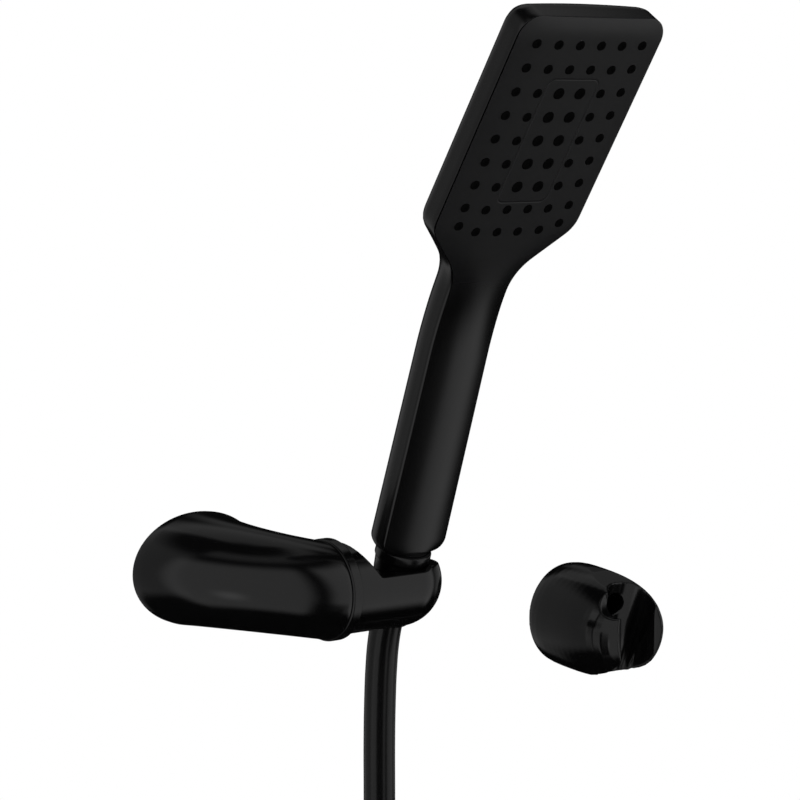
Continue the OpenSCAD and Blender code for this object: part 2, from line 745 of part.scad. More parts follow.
module holder_form() {
    steps = 16;
    start = -0.1 * holder_reach;
    end = 1.25 * holder_reach;
    intersection() {
        rotate([90 + holder_sag, 0, 0])
            rotate_extrude()
                polygon(concat(
                    [[0, start]],
                    [for (k = [0:steps]) let (a = mixed(start, end, k / steps)) [egg_r(a), a]],
                    [[0, end]]));
        translate([-2 * holder_r, 0, 0])
            rotate([90, 0, 90])
                linear_extrude(4 * holder_r)
                    polygon([for (q = holder_side) [q[0] * holder_reach, q[1] * holder_r]]);
    }
}
module fixed_holder() {
    hollow_deep = 0.43 * holder_reach;
    screw_wall = 5;
    boss_wall = 2;
    socket_l = 4 * holder_r;
    taper = tan(cone_angle) * socket_l / 2;
    half_mouth = holder_mouth / 2;
    lead_half = half_mouth + 4.3;
    lead_deep = 6.5;
    notch_turn = 76;
    notch_at = [-0.56 * holder_r, -1.17 * holder_reach, notch_up];
    color(shade)
        difference() {
            in_holder() holder_form();
            holder_axis() translate([0, 0, -socket_l / 2])
                cylinder(r1 = holder_socket_r - taper, r2 = holder_socket_r + taper, h = socket_l);
            holder_axis() translate([-half_mouth, -holder_reach, -socket_l / 2])
                cube([holder_mouth, holder_reach, socket_l]);
            in_holder() translate([0, 1, 0]) rotate([90, 0, 0])
                difference() {
                    cylinder(r = holder_r - arm_wall - 1, h = hollow_deep + 1);
                    translate([0, access_up, -1]) cylinder(r = access_r + boss_wall, h = hollow_deep + 3);
                }
            in_holder() translate([0, -screw_wall, access_up]) rotate([90, 0, 0])
                cylinder(r = access_r, h = holder_reach);
            in_holder() translate([0, 1, access_up]) rotate([90, 0, 0])
                cylinder(r = screw_hole_r, h = 2 * screw_wall);
            in_holder() translate(notch_at) rotate([90, 0, -notch_turn])
                translate([0, 0, -5]) cylinder(r = notch_r, h = holder_r);
            in_holder() translate([0, -holder_out, -holder_r])
                linear_extrude(2 * holder_r)
                    polygon([
                        [-lead_half, -1], [lead_half, -1], [lead_half, 0], [0, lead_deep], [-lead_half, 0]]);
        }
}

rear_shell();
front_shell();
rain_nozzles();
massage_nozzles();
spray_chamber();
selector_button();
button_seal();
button_spring();
water_tube();
inlet_connector();
inlet_washer();
conical_nut();
hose_flange();
hose_tube();
hose_coil();
coil_tie();
hose_tail();
end_flange();
end_nut();
end_washer();
wall_plate();
bracket_arm();
grub_screw();
arm_collar();
cradle();
pivot_screw();
spring_washer();
friction_ring();
fixed_holder();
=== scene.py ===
"""Dresses the hand shower set for its portrait: glossy black hand shower, bracket, holder and hose.

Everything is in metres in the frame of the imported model. A dimension below that has no unit in
its name is in metres too; the outline of the hand shower is worked out in millimetres, as on its
drawing, and turned into metres where its points are placed.
"""

import json
import math
from itertools import product

import bpy
from mathutils import Matrix, Vector


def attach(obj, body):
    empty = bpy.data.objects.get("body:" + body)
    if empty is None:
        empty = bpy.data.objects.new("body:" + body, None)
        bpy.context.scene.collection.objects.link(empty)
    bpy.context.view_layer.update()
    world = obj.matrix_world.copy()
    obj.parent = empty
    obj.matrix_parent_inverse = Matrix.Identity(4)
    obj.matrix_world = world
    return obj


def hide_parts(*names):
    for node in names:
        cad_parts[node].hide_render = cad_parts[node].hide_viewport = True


bl_info = {
    "name": "Hand Shower Set",
    "version": (1, 0, 0),
    "blender": (4, 5, 0),
    "location": "View3D > Sidebar > Shower Set",
    "description": "Builds the casing, face, nozzles, hose, bracket and holder of a hand shower set",
    "category": "Object",
}

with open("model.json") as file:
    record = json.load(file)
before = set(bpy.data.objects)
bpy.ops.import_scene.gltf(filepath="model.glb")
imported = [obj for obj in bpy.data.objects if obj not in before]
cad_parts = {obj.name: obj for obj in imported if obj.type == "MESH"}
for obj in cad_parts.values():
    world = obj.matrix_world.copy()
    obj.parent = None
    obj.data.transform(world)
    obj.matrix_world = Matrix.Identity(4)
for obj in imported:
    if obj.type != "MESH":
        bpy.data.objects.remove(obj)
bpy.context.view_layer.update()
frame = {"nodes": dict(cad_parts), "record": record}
MM = 0.001
SET_BODY = "cradle_side"
WALL_BODY = "wall_side"
BUTTON_BODY = "selector"


class ShowerSizes(bpy.types.PropertyGroup):
    """Sizes of the hand shower and of what carries it, as in the part's drawing."""

    head_width: bpy.props.FloatProperty(name="Head width", description="Width of the head in mm", default=76.6)
    head_up: bpy.props.FloatProperty(name="Head height", description="Middle nozzle to top edge in mm", default=56.5)
    head_corner: bpy.props.FloatProperty(name="Head corner", description="Top corner radius in mm", default=9.5)
    face_lean: bpy.props.FloatProperty(name="Face lean", description="Lean of the face in degrees", default=33.6)
    face_crown: bpy.props.FloatProperty(name="Face crown", description="Height of the face's crown in mm", default=2.4)
    head_side: bpy.props.FloatProperty(name="Head side", description="Straight depth of the head in mm", default=6.8)
    head_back: bpy.props.FloatProperty(name="Head back edge", description="Rear edge radius in mm", default=6.0)
    joint_gap: bpy.props.FloatProperty(name="Joint", description="Width of the joint in mm", default=0.9)
    handle_width: bpy.props.FloatProperty(name="Handle width", description="Width at the foot in mm", default=34.7)
    neck_width: bpy.props.FloatProperty(name="Neck width", description="Width at the neck in mm", default=32.0)
    handle_lean: bpy.props.FloatProperty(name="Handle lean", description="Lean of the handle in degrees", default=19.4)
    handle_length: bpy.props.FloatProperty(name="Handle length", description="Length below the bend in mm", default=118.0)
    handle_crown: bpy.props.FloatProperty(name="Handle crown", description="Front crown in mm", default=2.6)
    handle_side: bpy.props.FloatProperty(name="Handle side", description="Straight depth in mm", default=5.2)
    handle_back: bpy.props.FloatProperty(name="Handle back edge", description="Rear edge radius in mm", default=12.0)
    shell: bpy.props.FloatProperty(name="Wall", description="Wall of the casing in mm", default=2.4)
    nozzle_pitch: bpy.props.FloatProperty(name="Nozzle pitch", description="Nozzle pitch in mm", default=11.2)
    hose_diameter: bpy.props.FloatProperty(name="Hose", description="Outside diameter", default=0.014, unit="LENGTH")
    hose_length: bpy.props.FloatProperty(name="Hose length", description="Real length", default=1.6, unit="LENGTH")


class ShowerColours(bpy.types.PropertyGroup):
    """Colours of the finishes."""

    gloss: bpy.props.FloatVectorProperty(
        name="Gloss black", description="Moulded casing and bracket", subtype="COLOR", default=(0.0016, 0.0016, 0.0017)
    )
    # Paler black of the face, partly its own tone and partly painted light for the brighter face.
    face: bpy.props.FloatVectorProperty(
        name="Face black", description="Silkier black of the face", subtype="COLOR", default=(0.0075, 0.0075, 0.0079)
    )
    hose: bpy.props.FloatVectorProperty(
        name="Hose black", description="Smooth satin hose", subtype="COLOR", default=(0.003, 0.003, 0.0031)
    )
    rubber: bpy.props.FloatVectorProperty(
        name="Nozzle rubber", description="Soft black nozzles", subtype="COLOR", default=(0.0014, 0.0014, 0.0014)
    )
    backdrop: bpy.props.FloatVectorProperty(
        name="Backdrop", description="Floor and backdrop", subtype="COLOR", default=(0.8, 0.8, 0.8)
    )


class Socket:
    """A shader socket that adds Math nodes when it is used in an expression."""

    def __init__(self, tree, link):
        self.tree = tree
        self.link = link

    def maths(self, kind, *others):
        """Adds one Math node that works on this socket and on others."""
        return self.tree.node("ShaderNodeMath", {"operation": kind}, {0: self, **dict(enumerate(others, 1))})

    def __add__(self, other):
        return self.maths("ADD", other)

    def __radd__(self, other):
        return self.maths("ADD", other)

    def __sub__(self, other):
        return self.maths("SUBTRACT", other)

    def __rsub__(self, other):
        return self.maths("MULTIPLY_ADD", -1.0, other)

    def __mul__(self, other):
        return self.maths("MULTIPLY", other)

    def __rmul__(self, other):
        return self.maths("MULTIPLY", other)

    def size(self):
        """The absolute value."""
        return self.maths("ABSOLUTE")

    def at_least(self, low):
        """The value, and no less than low."""
        return self.maths("MAXIMUM", low)

    def power(self, exponent):
        """The value to a power."""
        return self.maths("POWER", exponent)

    def root(self):
        """The square root."""
        return self.maths("SQRT")

    def clamped(self, low, high):
        """0 at low, 1 at high and smooth between."""
        return self.tree.node(
            "ShaderNodeMapRange", {"interpolation_type": "SMOOTHSTEP"}, {"Value": self, "From Min": low, "From Max": high}
        )


class Graph:
    """A node tree with short calls for its nodes."""

    def __init__(self, owner):
        owner.use_nodes = True
        self.nodes = owner.node_tree.nodes
        self.links = owner.node_tree.links

    def node(self, kind, settings=None, sockets=None, output=0):
        """Adds one node, with its settings first and then its sockets, and returns an output."""
        node = self.nodes.new(kind)
        for key, value in (settings or {}).items():
            setattr(node, key, value)
        for key, value in (sockets or {}).items():
            self.feed(node.inputs[key], value)
        return Socket(self, node.outputs[output])

    def feed(self, place, value):
        """Links a socket, or sets a plain value."""
        if isinstance(value, Socket):
            self.links.new(value.link, place)
        else:
            place.default_value = value

    def parts(self, vector):
        """The three parts of a vector."""
        split = self.node("ShaderNodeSeparateXYZ", {}, {"Vector": vector})
        return [Socket(self, output) for output in split.link.node.outputs]

    def rays(self, *kinds):
        """1 for rays of any of these kinds, 0 for others."""
        outputs = self.node("ShaderNodeLightPath").link.node.outputs
        seen = Socket(self, outputs[kinds[0]])
        for kind in kinds[1:]:
            seen = seen.maths("MAXIMUM", Socket(self, outputs[kind]))
        return seen

    def mixed(self, share, first, second):
        """A Mix Shader."""
        return self.node("ShaderNodeMixShader", {}, {0: share, 1: first, 2: second})


class Finish(Graph):
    """A material and its main shader."""

    def __init__(self, name):
        self.material = bpy.data.materials.new(name)
        super().__init__(self.material)
        self.shader = self.nodes["Principled BSDF"]

    def surface(self, **sockets):
        """Sets the main shader's sockets, by name with _ for a space."""
        for key, value in sockets.items():
            self.feed(self.shader.inputs[key.replace("_", " ")], value)
        return self

    def place(self):
        """Object coordinates, in metres."""
        return self.node("ShaderNodeTexCoord", output="Object")

    def noise(self, scale, detail=2.0, where=None):
        """Noise from 0 to 1 on Object coordinates."""
        return self.node(
            "ShaderNodeTexNoise", {}, {"Vector": where or self.place(), "Scale": scale, "Detail": detail}
        )

    def bump(self, height, distance, strength=1.0, normal=None):
        """A Bump node for a height from 0 to 1."""
        sockets = {"Height": height, "Distance": distance, "Strength": strength}
        if normal:
            sockets["Normal"] = normal
        return self.node("ShaderNodeBump", {}, sockets)


# Outline, bend and sections of the hand shower, in millimetres: t runs down the joint plane from
# the middle nozzle, x across it, and n out of it towards the user.
NECK_DOWN = 81.0
NECK_SOFT = 26.0
SHOULDER_SUM = 83.0
SHOULDER_R = 12.0
NECK_R = 22.0
FOOT_R = 6.0
END_SOFT = 5.0
NUT_OFF = 6.0
FOOT_UP = 16.5
TOP_GAP = 0.2
LAST_ROW_IN = (1.0, 1.018, 0.968)
LAST_ROW_UP = (0.0, 0.4, 3.3)
# Painted shade in the nozzles: radius of the dark disc in each rain and massage bore, and its height above the face, in
# mm.
CHANNEL_SHADE_R = (0.75, 1.15)
CHANNEL_SHADE_UP = 0.35
TILT_AXIS = Vector((0.076, -0.042, -0.008))


def sizes():
    return bpy.context.scene.shower_sizes


def colours():
    return bpy.context.scene.shower_colours


def arc_in(radius, x):
    return math.sqrt(max(0.0, radius * radius - x * x))


def mixed(a, b, x):
    return a * (1 - x) + b * x


def foot_t():
    return NECK_DOWN + sizes().handle_length


def lean_at(t):
    s = sizes()
    x = min(1.0, max(0.0, (t - NECK_DOWN + NECK_SOFT) / (2 * NECK_SOFT)))
    return math.radians(mixed(s.face_lean, s.handle_lean, x))


def spine(t):
    """The joint plane's own line in the plane of symmetry, as (y, z)."""
    steps = 60
    start = NECK_DOWN - NECK_SOFT
    y, z = min(t, start) * math.sin(lean_at(0)), -min(t, start) * math.cos(lean_at(0))
    bent = min(max(t - start, 0.0), 2 * NECK_SOFT)
    for i in range(steps if bent else 0):
        a = lean_at(start + (i + 0.5) * bent / steps)
        y += bent / steps * math.sin(a)
        z -= bent / steps * math.cos(a)
    past = max(t - start - 2 * NECK_SOFT, 0.0)
    a = lean_at(foot_t())
    return y + past * math.sin(a), z - past * math.cos(a)


def on_set(x, n, t, line=None):
    """A point of the hand shower in metres, in the row frame."""
    y, z = line or spine(t)
    a = lean_at(t)
    return Vector((x, y - n * math.cos(a), z - n * math.sin(a))) * MM + set_place()


_place = {}


def set_place():
    """Where the middle nozzle's foot lies, worked out from the tilt axis."""
    if "set" not in _place:
        y, z = spine(foot_t() + FOOT_UP)
        a = lean_at(foot_t())
        low = Vector((0.0, y + NUT_OFF * math.cos(a), z + NUT_OFF * math.sin(a))) * MM
        _place["set"] = TILT_AXIS - low
    return _place["set"]


def handle_half(t):
    s = sizes()
    return s.neck_width / 2 + (s.handle_width - s.neck_width) / 2 * max(0.0, t - NECK_DOWN) / s.handle_length


def half_w(t, e=0.0):
    """Half width of the outline at t, shrunk all round by e."""
    s = sizes()
    w = s.head_width / 2 - e
    top, corner = -s.head_up + e, s.head_corner - e
    hw = handle_half(t) - e
    k = math.tan(math.radians(22.5))
    total = SHOULDER_SUM - e * math.sqrt(2)
    rs, rn = SHOULDER_R - e, NECK_R + e
    ts, tn = total - w, total - hw
    half = math.sqrt(0.5)
    low = foot_t() - FOOT_R
    if t > low:
        return hw - (FOOT_R - e) + arc_in(FOOT_R - e, t - low)
    if t < top + corner:
        return w - corner + arc_in(corner, top + corner - t)
    if t < ts - rs * k:
        return w
    if t < ts + rs * k * half:
        return w - rs + arc_in(rs, t - ts + rs * k)
    if t < tn - rn * k * half:
        return total - t
    if t < tn + rn * k:
        return hw + rn - arc_in(rn, tn + rn * k - t)
    return hw


def headness(t):
    x = min(1.0, max(0.0, (NECK_DOWN + 4 - t) / 40))
    return x * x * (3 - 2 * x)


def top_fall(t):
    u = (-sizes().head_up + 10 - t) / 10
    return 1.0 if u < 0 else 1 - 0.75 * u**3


def gap_at(t):
    s = sizes()
    up = min(1.0, max(0.0, (s.head_corner - s.head_up - t) / s.head_corner))
    return mixed(0.15, mixed(s.joint_gap, TOP_GAP, up), headness(t))


def rise_at(t):
    s = sizes()
    return (mixed(s.handle_crown, s.face_crown, headness(t)) - gap_at(t)) * top_fall(t)


def face_n(x, t, e=0.0):
    power = mixed(2.0, 3.5, headness(t))
    return gap_at(t) + rise_at(t) * (1 - min(1.0, abs(x) / half_w(t, e)) ** power)


def back_fall(t, e):
    """How much of the rounded back is left near the two ends."""
    u = min(t + sizes().head_up - e, foot_t() - e - t) / END_SOFT
    return 1.0 if u > 1 else math.sqrt(max(0.0, 1 - (1 - u) ** 2))


def stations(e, fine):
    """Places along the set for a section, closer together where the outline bends."""
    s = sizes()
    count = 14 * fine
    top = [-s.head_up + e + (s.head_corner - e) * (1 - math.cos(k * math.pi / 2 / count)) for k in range(count)]
    straight = [-47 + e + k * (83 - e) / (10 * fine) for k in range(10 * fine)]
    bent = [36 + k * 72 / (30 * fine) for k in range(30 * fine)]
    low = foot_t() - FOOT_R
    handle = [108 + k * (low - 108) / (12 * fine) for k in range(12 * fine)]
    foot = [low + (FOOT_R - e) * math.sin(k * math.pi / 2 / count) for k in range(count + 1)]
    return top + straight + bent + handle + foot


# Mesh making.


def select_only(obj):
    bpy.ops.object.select_all(action="DESELECT")
    obj.select_set(True)
    bpy.context.view_layer.objects.active = obj


def wrapped(name, rings, ends="fill"):
    """A grid primitive whose rows are laid on closed rings; its seam is merged and its ends filled.

    ends is fill, or join where the last ring runs back into the first.
    """
    rows, columns = len(rings), len(rings[0])
    bpy.ops.object.select_all(action="DESELECT")
    bpy.ops.mesh.primitive_grid_add(x_subdivisions=columns, y_subdivisions=rows - 1, size=1)
    obj = bpy.context.object
    obj.name = obj.data.name = name
    for vertex in obj.data.vertices:
        column = round((vertex.co.x + 0.5) * columns) % columns
        row = round((vertex.co.y + 0.5) * (rows - 1))
        vertex.co = rings[row][column]
    bpy.ops.object.mode_set(mode="EDIT")
    bpy.ops.mesh.select_all(action="SELECT")
    bpy.ops.mesh.remove_doubles(threshold=1e-7)
    if ends == "fill":
        bpy.ops.mesh.select_all(action="DESELECT")
        bpy.ops.mesh.select_non_manifold(extend=False)
        bpy.ops.mesh.edge_face_add() if rows == 2 else bpy.ops.mesh.fill_holes(sides=0)
    bpy.ops.mesh.select_all(action="SELECT")
    bpy.ops.mesh.normals_make_consistent(inside=False)
    bpy.ops.object.mode_set(mode="OBJECT")
    return obj


def smooth(obj, angle=35):
    select_only(obj)
    bpy.ops.object.shade_smooth_by_angle(angle=math.radians(angle))


def applied(obj, kind, **settings):
    """Adds a modifier, sets it and applies it."""
    select_only(obj)
    modifier = obj.modifiers.new(kind.title(), kind)
    for key, value in settings.items():
        setattr(modifier, key, value)
    bpy.ops.object.modifier_apply(modifier=modifier.name)


def joined(pieces, name):
    bpy.ops.object.select_all(action="DESELECT")
    for piece in pieces:
        piece.select_set(True)
    bpy.context.view_layer.objects.active = pieces[0]
    bpy.ops.object.join()
    pieces[0].name = pieces[0].data.name = name
    return pieces[0]


def softened(node, name, voxel, rounds):
    """A copy of a sharp CAD node with its edges rubbed round."""
    obj = frame["nodes"][node].copy()
    obj.data = obj.data.copy()
    obj.name = obj.data.name = name
    bpy.context.scene.collection.objects.link(obj)
    obj.parent = None
    obj.matrix_world = Matrix.Identity(4)
    obj.hide_render = False
    applied(obj, "WELD", merge_threshold=1e-6)
    applied(obj, "REMESH", mode="VOXEL", voxel_size=voxel, use_smooth_shade=True)
    applied(obj, "SMOOTH", factor=0.5, iterations=rounds)
    select_only(obj)
    bpy.ops.object.shade_smooth()
    return obj


def dressed(obj, finish, slot, body, *nodes):
    """Gives a piece its material and its body, and hides the nodes that it stands for; slot is not used."""
    obj.data.materials.clear()
    obj.data.materials.append(finish)
    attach(obj, body)
    if nodes:
        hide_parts(*nodes)


# Finishes.

GLOSS_IOR = 1.4
HOSE_IOR = 1.35
NECK_Z = (0.112, 0.142)


def face_height(finish):
    """Height of the engraved outline round the massage nozzles: 0 in the line and 1 beside it."""
    s = sizes()
    middle = on_set(0.0, s.face_crown, 0.5)
    lean = math.radians(90 + s.face_lean)
    turn = Matrix.Rotation(lean, 3, "X")
    shift = turn.inverted() @ middle
    place = finish.node(
        "ShaderNodeMapping",
        {"vector_type": "POINT"},
        {"Vector": finish.place(), "Location": -shift, "Rotation": (-lean, 0.0, 0.0)},
    )
    x, y, z = finish.parts(place)
    half_x, half_y, corner = 13.5 * MM, 29.5 * MM, 3.5 * MM
    dx = x.size() - (half_x - corner)
    dy = y.size() - (half_y - corner)
    outside = (dx.at_least(0.0).power(2.0) + dy.at_least(0.0).power(2.0)).root()
    inside = dx.maths("MAXIMUM", dy).maths("MINIMUM", 0.0)
    distance = (outside + inside - corner).size()
    return distance.clamped(0.15 * MM, 0.5 * MM)


def gloss_finish(name, colour, rough):
    """Moulded black plastic with a lacquered gloss and the faintest ripple."""
    finish = Finish(name)
    normal = finish.bump(finish.noise(180.0, 2.0), 0.00001, 0.35)
    handled = finish.noise(35.0, 3.0)
    finish.surface(Base_Color=(*colour, 1.0), Roughness=handled * 0.06 + rough, Normal=normal, IOR=GLOSS_IOR)
    return finish.material


def face_finish(name, silky_and_lit, gloss):
    """The front panel: silkier and a paler black on the head, where the outline is engraved, and glossy down the
    handle. The paler black is partly the face's own tone and partly painted light standing in for the brighter face.
    """
    finish = Finish(name)
    ripple = finish.bump(finish.noise(180.0, 2.0), 0.00001, 0.35)
    normal = finish.bump(face_height(finish), 0.0004, 0.7, ripple)
    x, y, z = finish.parts(finish.place())
    # Partly painted light: the head takes a paler black than the handle front, so the face darkens towards the neck.
    head = z.clamped(*NECK_Z)
    colour = finish.node(
        "ShaderNodeMix", {"data_type": "RGBA"}, {0: head, 6: (*gloss, 1.0), 7: (*silky_and_lit, 1.0)}, output=2
    )
    rough = finish.noise(35.0, 3.0) * 0.06 + head * 0.2 + 0.17
    finish.surface(Base_Color=colour, Roughness=rough, Normal=normal, IOR=GLOSS_IOR)
    return finish.material


def hose_finish(name, colour):
    """Smooth extruded hose, satin, with faint lengthwise streaks of wear."""
    finish = Finish(name)
    streak = finish.noise(60.0, 3.0)
    normal = finish.bump(finish.noise(400.0), 0.00002, 0.3)
    finish.surface(Base_Color=(*colour, 1.0), Roughness=streak * 0.06 + 0.2, Normal=normal, IOR=HOSE_IOR)
    return finish.material


def rubber_finish(name, colour):
    """Matt silicone."""
    finish = Finish(name)
    grain = finish.noise(900.0)
    finish.surface(
        Base_Color=(*colour, 1.0), Roughness=grain * 0.1 + 0.6, Normal=finish.bump(grain, 0.00002, 0.3),
        Specular_IOR_Level=0.02,
    )
    return finish.material


def plain_plastic_finish(name, colour):
    """Inner moulded parts."""
    finish = Finish(name)
    grain = finish.noise(300.0)
    finish.surface(Base_Color=(*colour, 1.0), Roughness=grain * 0.1 + 0.45)
    return finish.material


def metal_finish(name, colour, rough):
    """Turned or stamped metal with fine tool marks."""
    finish = Finish(name)
    marks = finish.noise(700.0, 4.0)
    finish.surface(
        Base_Color=(*colour, 1.0), Metallic=1.0, Roughness=marks * 0.15 + rough, Normal=finish.bump(marks, 0.00002, 0.3)
    )
    return finish.material


NODE_FINISH = {
    "gloss_black": "Gloss black",
    "bracket_black": "Bracket black",
    "nut_black": "Nut black",
    "hose_black": "Hose black",
    "nozzle_rubber": "Nozzle rubber",
    "seal_rubber": "Seal rubber",
    "tie_rubber": "Tie rubber",
    "inner_plastic": "Inner plastic",
    "brass": "Turned brass",
    "plate_steel": "Plate steel",
    "spring_steel": "Spring steel",
}


def make_finishes():
    c = colours()
    gloss = tuple(c.gloss)
    gloss_finish("Gloss black", gloss, 0.2)
    face_finish("Face black", tuple(c.face), gloss)
    gloss_finish("Bracket black", gloss, 0.12)
    gloss_finish("Nut black", gloss, 0.2)
    hose_finish("Hose black", tuple(c.hose))
    rubber_finish("Nozzle rubber", tuple(c.rubber))
    rubber_finish("Seal rubber", (0.006, 0.006, 0.006))
    rubber_finish("Tie rubber", (0.008, 0.008, 0.008))
    plain_plastic_finish("Inner plastic", (0.03, 0.03, 0.031))
    metal_finish("Turned brass", (0.70, 0.55, 0.28), 0.25)
    metal_finish("Plate steel", (0.55, 0.55, 0.56), 0.35)
    metal_finish("Spring steel", (0.60, 0.60, 0.61), 0.25)


# Operators.

CAMERA_AT = (-0.67584, -0.97793, 0.19574)
CAMERA_AIM = (-38.85, 5.94)
CAMERA_LENS = 125.70
FLOOR_Z = -0.32
SHADOW_MIDDLE = (0.12, -0.05)
SHADOW_FADE = (0.4, 0.8)
HOSE_AT = Vector((0.076, -0.031, -0.17))
FLAG_WAY = Vector((-0.597, -0.802, -0.18))
FLAG_AWAY = 0.07
FLAG_SIZE = (0.062, 0.27)
SHADOW_LIFT = 0.2


def pale_stage_material(colour):
    """A pale floor; where it is seen it is lifted to white, with the object's shadow kept close by."""
    finish = Finish("Backdrop pale")
    finish.surface(Base_Color=(*colour, 1.0), Roughness=0.9, Specular_IOR_Level=0.0)
    plain = Socket(finish, finish.shader.outputs[0])
    white = (1.0, 1.0, 1.0, 1.0)
    lift = finish.node("ShaderNodeEmission", {}, {"Color": white, "Strength": SHADOW_LIFT})
    lifted = finish.node("ShaderNodeAddShader", {}, {0: plain, 1: lift})
    x, y, z = finish.parts(finish.place())
    away = ((x - SHADOW_MIDDLE[0]).power(2.0) + (y - SHADOW_MIDDLE[1]).power(2.0)).root()
    far = finish.node("ShaderNodeEmission", {}, {"Color": white, "Strength": 1.0})
    ground = finish.mixed(away.clamped(*SHADOW_FADE), lifted, far)
    seen = finish.rays("Is Camera Ray", "Is Glossy Ray", "Is Transmission Ray")
    finish.feed(finish.nodes["Material Output"].inputs["Surface"], finish.mixed(seen, plain, ground))
    return finish.material


# White panels of the studio as gloss shows them: azimuth and half width, lowest and highest
# elevation, softness of the edges, all in degrees, and the share of white.
PANELS = (
    (-45, 26, -41, 43, 7, 0.83),
    (-139, 52, -58, 43, 8, 0.75),
    (130, 46, -39, 53, 8, 0.36),
    (50, 38, 43, 80, 6, 0.36),
    (44, 13, 26, 41, 5, 0.16),
    (-84, 96, 57, 70, 6, 0.36),
    (8, 20, -20, 10, 6, 0.26),
    (-150, 9, -37, -22, 8, 0.7),
)
PANEL_LIGHT = 3.0
# A dark screen low between the two front panels, in the same numbers.
SCREEN = (-70, 16, -70, -27, 6, 0.85)


def panel_share(room, way, panel):
    """How much of a panel lies in a direction."""
    azimuth, half, low, high, soft = (math.radians(v) for v in panel[:5])
    x, y, z = way
    along = x * math.cos(azimuth) + y * math.sin(azimuth)
    across = y * math.cos(azimuth) - x * math.sin(azimuth)
    turn = across.maths("ARCTAN2", along).size()
    height = z.maths("ARCSINE")
    share = turn.clamped(half + soft, half - soft) * height.clamped(low - soft, low + soft)
    return share * height.clamped(high + soft, high - soft) * panel[5]


def world_light():
    """White for the camera and glass, white panels in the dark for gloss, and a soft room for the rest."""
    world = bpy.data.worlds.new("Studio")
    bpy.context.scene.world = world
    room = Graph(world)
    way = room.parts(room.node("ShaderNodeTexCoord", output="Generated"))
    panels = [panel_share(room, way, panel) for panel in PANELS]
    total = panels[0]
    for panel in panels[1:]:
        total = total + panel
    total = total * (1 - panel_share(room, way, SCREEN))

    def plain(strength):
        return room.node("ShaderNodeBackground", {}, {"Color": (1.0, 1.0, 1.0, 1.0), "Strength": strength})

    gloss = room.mixed(total * (1 / PANEL_LIGHT), plain(0.004), plain(PANEL_LIGHT))
    indirect = room.mixed(room.rays("Is Glossy Ray"), plain(0.3), gloss)
    seen = room.mixed(room.rays("Is Camera Ray", "Is Transmission Ray"), indirect, plain(1.0))
    room.feed(room.nodes["World Output"].inputs["Surface"], seen)


def seen_in_gloss_only(obj):
    for kind in ("camera", "diffuse", "transmission", "volume_scatter", "shadow"):
        setattr(obj, "visible_" + kind, False)


def soft_box(name, place, aim, width, height, power):
    bpy.ops.object.light_add(type="AREA", location=place)
    lamp = bpy.context.object
    lamp.name = name
    lamp.data.shape = "RECTANGLE"
    lamp.data.size = width
    lamp.data.size_y = height
    lamp.data.energy = power
    lamp.visible_glossy = False
    lamp.rotation_euler = (Vector(aim) - Vector(place)).to_track_quat("-Z", "Y").to_euler()


class SHOWER_OT_stage(bpy.types.Operator):
    """Add the camera, the soft boxes, the pale floor, the black flag and the world"""

    bl_idname = "shower.stage"
    bl_label = "Stage"

    def execute(self, context):
        bpy.ops.object.camera_add(location=CAMERA_AT)
        camera = context.object
        turn, down = CAMERA_AIM
        camera.rotation_euler = (math.radians(90 - down), 0.0, math.radians(turn))
        camera.data.lens = CAMERA_LENS
        camera.data.sensor_width = 36.0
        camera.data.clip_end = 20.0
        context.scene.camera = camera
        soft_box("Left box", (-1.6, -0.5, 0.35), (0.05, 0.0, 0.05), 1.0, 1.4, 22.0)
        soft_box("Right box", (1.5, -1.5, 0.3), (0.05, 0.0, 0.05), 0.8, 1.4, 14.0)
        soft_box("Top box", (0.1, -0.6, 1.6), (0.05, 0.0, 0.0), 1.2, 0.8, 10.0)
        bpy.ops.mesh.primitive_grid_add(x_subdivisions=40, y_subdivisions=40, size=9)
        floor = context.object
        floor.name = "Floor"
        for vertex in floor.data.vertices:
            away = max(0.0, vertex.co.y - 2.0)
            vertex.co.z = FLOOR_Z + 0.25 * away**2
        smooth(floor, 60)
        floor.data.materials.append(pale_stage_material(tuple(colours().backdrop)))
        floor.visible_glossy = False
        self.black_flag()
        world_light()
        context.scene.view_settings.view_transform = "Standard"
        return {"FINISHED"}

    def black_flag(self):
        """A black strip that only the gloss of the hose sees."""
        bpy.ops.mesh.primitive_plane_add(size=1)
        flag = bpy.context.object
        flag.name = "Black flag"
        way = FLAG_WAY.normalized()
        side = way.cross(Vector((0.0, 0.0, 1.0))).normalized()
        for vertex in flag.data.vertices:
            x, y = vertex.co.x * FLAG_SIZE[0], vertex.co.y * FLAG_SIZE[1]
            vertex.co = HOSE_AT + way * FLAG_AWAY + side * x + Vector((0.0, 0.0, y))
        finish = Finish("Flag black")
        finish.surface(Base_Color=(0.0, 0.0, 0.0, 1.0), Roughness=1.0, Specular_IOR_Level=0.0)
        flag.data.materials.append(finish.material)
        seen_in_gloss_only(flag)


HOSE_ROUTE = (
    (0.0, -0.0423, -0.0073), (0.0, -0.0357, -0.0259), (0.0, -0.033, -0.036), (0.0, -0.0314, -0.048),
    (0.0, -0.0305, -0.062), (0.0, -0.030, -0.080), (0.0, -0.030, -0.105), (0.0, -0.030, -0.130),
    (0.0, -0.030, -0.155), (0.0, -0.030, -0.184),
)
TAIL_ROUTE = ((0.014, -0.0515, -0.198), (0.014, -0.0518, -0.210), (0.014, -0.054, -0.223),
              (0.014, -0.057, -0.236), (0.014, -0.059, -0.248))
HOSE_X = 0.076
COIL_Z = -0.208
COIL_OUTER = 0.0764
COIL_INNER = 0.0624
LAYERS = (-0.023, -0.037)


def eased(x):
    x = min(1.0, max(0.0, x))
    return x * x * (3 - 2 * x)


